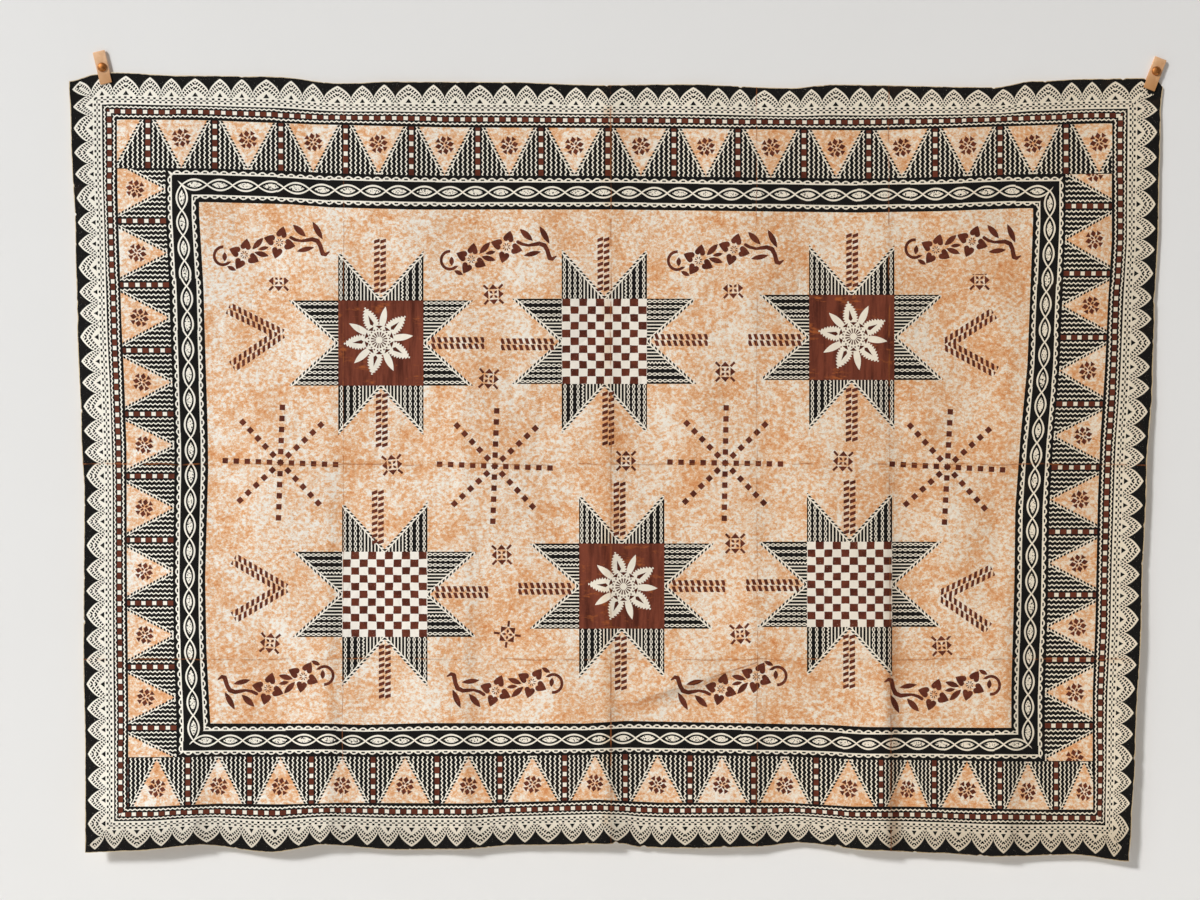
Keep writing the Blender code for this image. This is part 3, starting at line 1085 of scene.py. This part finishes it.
def leaf(x, y, centre_x, centre_y, length, width, turn):
    """A leaf pointed at both ends."""
    out, off = spun(x - centre_x, y - centre_y, turn)
    return abs(off) < bow(out, length / 2, width / 2 + INK_SPREAD)


def heart_petal(x, y, turn, reach):
    """A heart with its point outwards and its notch at the flower's centre."""
    out, off = spun(x / reach, y / reach, turn)
    lobe_x, lobe_y = out - 0.5, abs(off) - 0.155
    share = (out - 0.52) / 0.48
    blade = abs(off) < 0.325 * (1 - share) * (1 + 0.55 * share)
    return (lobe_x * lobe_x + lobe_y * lobe_y < 0.0285) | (blade & (out > 0.52))


def stroke(x, y, start, end):
    """A brush stroke between two points, each with its half width."""
    run_x, run_y = end[0] - start[0], end[1] - start[1]
    length = run_x * run_x + run_y * run_y
    share = ((x - start[0]) * run_x + (y - start[1]) * run_y) / length
    share = least(most(share, 0), 1)
    beside = span(x - start[0] - share * run_x, y - start[1] - share * run_y)
    return beside < start[2] + share * (end[2] - start[2]) + INK_SPREAD


# vine's leaves: centre across and up, length, width, turn
VINE_LEAVES = (
    (-107.4, -20.7, 21, 9, 90),
    (-90.9, -47.2, 23, 8, -24),
    (-28.8, 9.7, 37, 11.5, 46),
    (-15.4, -1.2, 25, 7, 12),
    (-20, -14.5, 35, 10.5, -14),
    (69.5, 39.6, 41, 12.5, -42),
    (112.7, 39.8, 47, 11.5, -60),
    (83.9, -3.5, 42, 9.5, 13),
)
# vine's flowers: centre across and up, the turn of each petal, reach
VINE_FLOWERS = (
    (-61, -16.1, (159, 80, -24, -120), 38),
    (22.5, 12, (163, 76, -12, -106), 38.5),
)
# vine's stem: points across and up, with half its width
VINE_STEM = (
    (49.5, 23.5, 3), (59.8, 18.4, 2.8), (74.8, 15.6, 2.1), (87.4, 17.6, 3.2),
    (100.1, 19.8, 3.9), (112.7, 15.6, 4.4), (119.1, 4.6, 4.1), (124.7, -13.3, 4.4),
    (131.1, -15.6, 3.2), (139.8, -9.7, 0.8),
)


def vine_colour(finish):
    """A curling stem with leaves and two flowers of heart petals."""
    x, y = finish.map("Motif")
    x = x * 1.03
    curl_x, curl_y = x + 111.5, y + 18.4
    open_side = (curl_x > 1) & (curl_y > -13)
    ink = (abs(span(curl_x, curl_y) - 20.5) < 3.4) & ~open_side
    for measures in VINE_LEAVES:
        ink = ink | leaf(x, y, *measures)
    for flower_x, flower_y, turns, reach in VINE_FLOWERS:
        over, up = x - flower_x, y - flower_y
        for turn in turns:
            ink = ink | heart_petal(over, up, turn, reach)
        ink = ink | (spokes(over, up, 8, 0.22) & (abs(span(over, up) - 6) < 2.8))
    for one, other in zip(VINE_STEM, VINE_STEM[1:]):
        ink = ink | stroke(x, y, one, other)
    return rust_print(ink, ground(finish))


def chevron_colour(finish):
    """Two arms of dashes meeting in a point at the right."""
    x, y = finish.map("Motif")
    out, off = spun(57 - x, abs(y), math.degrees(math.atan2(66, 112)))
    ink = dashes(out, off, slant=0.62) & (out > -5) & (out < 133)
    return rust_print(ink, ground(finish))


def square_spokes(x, y):
    """Four spokes of small squares."""
    out, near = far_near(x, y)
    return every(out + SPOKE_PITCH / 2, SPOKE_PITCH, 0.25) & (near < 6.2) & (out < 134)


def asterisk_colour(finish):
    """Eight spokes of small squares round one at the centre."""
    x, y = finish.map("Motif")
    ink = square_spokes(x, y) | square_spokes(*spun(x, y, 45))
    return rust_print(ink, ground(finish))


def small_star_colour(finish):
    """Four wedges and four slanting dashes."""
    out, near = far_near(*finish.map("Motif"))
    slant, apart = out + near, out - near
    wedge = (out > 12) & (near < (23.6 - out) * 0.88)
    corner = (apart < 3.8) & (abs(slant - 34.4) < 9.6)
    middle = apart < 4.6 * (1 - abs(slant - 10.5) / 7.5)
    return rust_print(wedge | corner | middle, ground(finish))


def back_finish():
    """The plain back, mottled and fibrous."""
    finish = Finish("bark_cloth_back", roughness=0.95, specular=0.2)
    mottle = finish.cloudy(7, 8, 0.72, warp=0.5)
    fibres = finish.fibrous((30, 30, 260), 4, 0.7)
    colour = graded(mottle, 0.42, 0.66, BAST, paint(206, 176, 136))
    colour = blend(ramp(fibres, 0.45, 0.68) * 0.6, colour, paint(180, 148, 108))
    return finish.show(colour, felt(finish))


def cloth_finishes():
    """Each finish of the cloth, by the name of its zone."""
    prints = {
        "lace": lace_colour,
        "ring": ring_colour,
        "triangles": triangle_colour,
        "chain": chain_colour,
        "field": ground,
        "vine": vine_colour,
        "chevron": chevron_colour,
        "asterisk": asterisk_colour,
        "small_star": small_star_colour,
    }
    for number, (_, _, *measures) in enumerate(STARS, 1):
        prints[f"star_{number}"] = star_colour(*measures)
    finishes = {name: cloth_finish(f"print_{name}", draw) for name, draw in prints.items()}
    finishes["back"] = back_finish()
    return finishes


# The tabs and studs


def leather_finish():
    finish = Finish("tan_leather", roughness=0.52)
    tone = finish.cloudy(60, 4, 0.6)
    pores = finish.cloudy(900, 3, 0.55)
    _, _, z = finish.split(finish.place)
    colour = graded(tone, 0.35, 0.7, paint(232, 187, 145), paint(216, 166, 121))
    colour = blend(ramp(z, 0.03, -0.045) * 0.8, colour, paint(186, 128, 70))
    height = pores * 0.35 + tone * 0.3
    return finish.show(colour, height, distance=0.0008, roughness=0.46 + pores * 0.22)


def brass_finish():
    finish = Finish("antique_brass", roughness=0.4, metallic=1)
    tarnish = finish.cloudy(160, 5, 0.6)
    colour = graded(tarnish, 0.4, 0.68, paint(194, 128, 72), paint(140, 88, 46))
    return finish.show(colour, tarnish, distance=0.0004, roughness=0.42 + tarnish * 0.24)


def softened(node, name, width, finish):
    """A CAD node's shape with its edges rounded."""
    shape = bmesh.new()
    shape.from_mesh(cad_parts[node].data)
    bmesh.ops.remove_doubles(shape, verts=shape.verts, dist=0.00001)
    bmesh.ops.dissolve_limit(shape, angle_limit=FLAT_BEND, verts=shape.verts, edges=shape.edges)
    sharp = [edge for edge in shape.edges if edge.is_manifold and edge.calc_face_angle(0) > SHARP_BEND]
    rounding = {"segments": 3, "profile": 0.5, "affect": "EDGES", "material": -1, "clamp_overlap": True}
    bmesh.ops.bevel(shape, geom=sharp, offset=width, **rounding)
    for face in shape.faces:
        face.smooth = True
    made = piece(shape, name, [finish])
    made.data.set_sharp_from_angle(angle=SHADED_BEND)
    return made


# The room


def plain_finish(name, colour):
    finish = Finish(name, roughness=0.9)
    grain = finish.cloudy(3, 3)
    return finish, blend(grain * 0.12, colour, paint(214, 212, 208))


def backdrop():
    """A plain pale wall behind the cloth, clear from behind, and a pale floor."""
    finish, colour = plain_finish("pale_wall", paint(236, 236, 236))
    finish.show(colour)
    clear = finish.node("ShaderNodeBsdfTransparent")
    behind = finish.node("ShaderNodeNewGeometry").outputs["Backfacing"]
    inputs = {0: behind, 1: finish.shader.outputs[0], 2: clear.outputs[0]}
    mixed = finish.node("ShaderNodeMixShader", inputs=inputs)
    output = finish.tree.nodes["Material Output"]
    finish.feed(output.inputs["Surface"], mixed.outputs[0])
    wall = flat_panel("wall", finish.material, (12, 5.6), (0, 0.0004, 0.4), lean=90)
    wall.visible_shadow = False
    finish, colour = plain_finish("pale_floor", paint(226, 224, 220))
    floor = flat_panel("floor", finish.show(colour), (12, 6), (0, -3, -2.4), lean=0)


def flat_panel(name, finish, size, middle, lean):
    """A rectangle that faces up, or leans from that towards the viewer."""
    place = Matrix.Translation(middle) @ Matrix.Rotation(math.radians(lean), 4, "X")
    place = place @ Matrix.Diagonal((*size, 1, 1))
    shape = bmesh.new()
    bmesh.ops.create_grid(shape, x_segments=1, y_segments=1, size=0.5, matrix=place)
    return piece(shape, name, [finish])


def lamp(name, kind, power, colour, towards, place=(0, 0, 0), **settings):
    """A light that shines the given way."""
    light = bpy.data.lights.new(name, kind)
    light.energy = power
    light.color = colour
    for setting, value in settings.items():
        setattr(light, setting, value)
    made = placed(name, light)
    made.location = place
    made.rotation_euler = Vector(towards).to_track_quat("-Z", "Y").to_euler()


def room_light():
    """A window light from the upper left, a weaker one beside it, and one for the back."""
    white, cool, warm = (1, 0.99, 0.975), (0.92, 0.97, 1), (1, 0.98, 0.95)
    beside, behind = {"shape": "DISK", "size": 2}, {"shape": "DISK", "size": 3}
    lamp("window", "SUN", 2.5, white, (1.1, 1, -0.85), angle=math.radians(9))
    lamp("left_window", "AREA", 34, cool, (3.6, 2.6, -1.2), (-4.2, -2.6, 0.4), **beside)
    lamp("rear", "AREA", 100, warm, (-1.5, -4.5, -2.4), (1.5, 4.5, 1.5), **behind)
    world = bpy.data.worlds.new("pale_room")
    world.use_nodes = True
    sky = world.node_tree.nodes["Background"]
    sky.inputs["Color"].default_value = (1, 0.97, 0.94, 1)
    sky.inputs["Strength"].default_value = 0.22
    bpy.context.scene.world = world
    bpy.context.scene.view_settings.view_transform = "Standard"


def photo_camera():
    """Level and straight in front of the cloth."""
    lens = bpy.data.cameras.new("camera")
    lens.lens = SENSOR_WIDTH * -EYE.y / VIEW_WIDTH
    lens.sensor_width = SENSOR_WIDTH
    camera = placed("camera", lens)
    camera.location = EYE
    camera.rotation_euler = (math.radians(90), 0, 0)
    bpy.context.scene.camera = camera


def build():
    photo_camera()
    cloth = printed_sheet(cloth_finishes())
    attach(cloth, "root")
    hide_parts("bark_cloth")
    leather, brass = leather_finish(), brass_finish()
    for name, *_ in TABS:
        tab = softened(f"tab_{name}", f"leather_tab_{name}", 0.0007, leather)
        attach(tab, "root")
        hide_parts(f"tab_{name}")
        stud = softened(f"stud_{name}", f"domed_stud_{name}", 0.0004, brass)
        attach(stud, "root")
        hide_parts(f"stud_{name}")
    backdrop()
    room_light()


build()
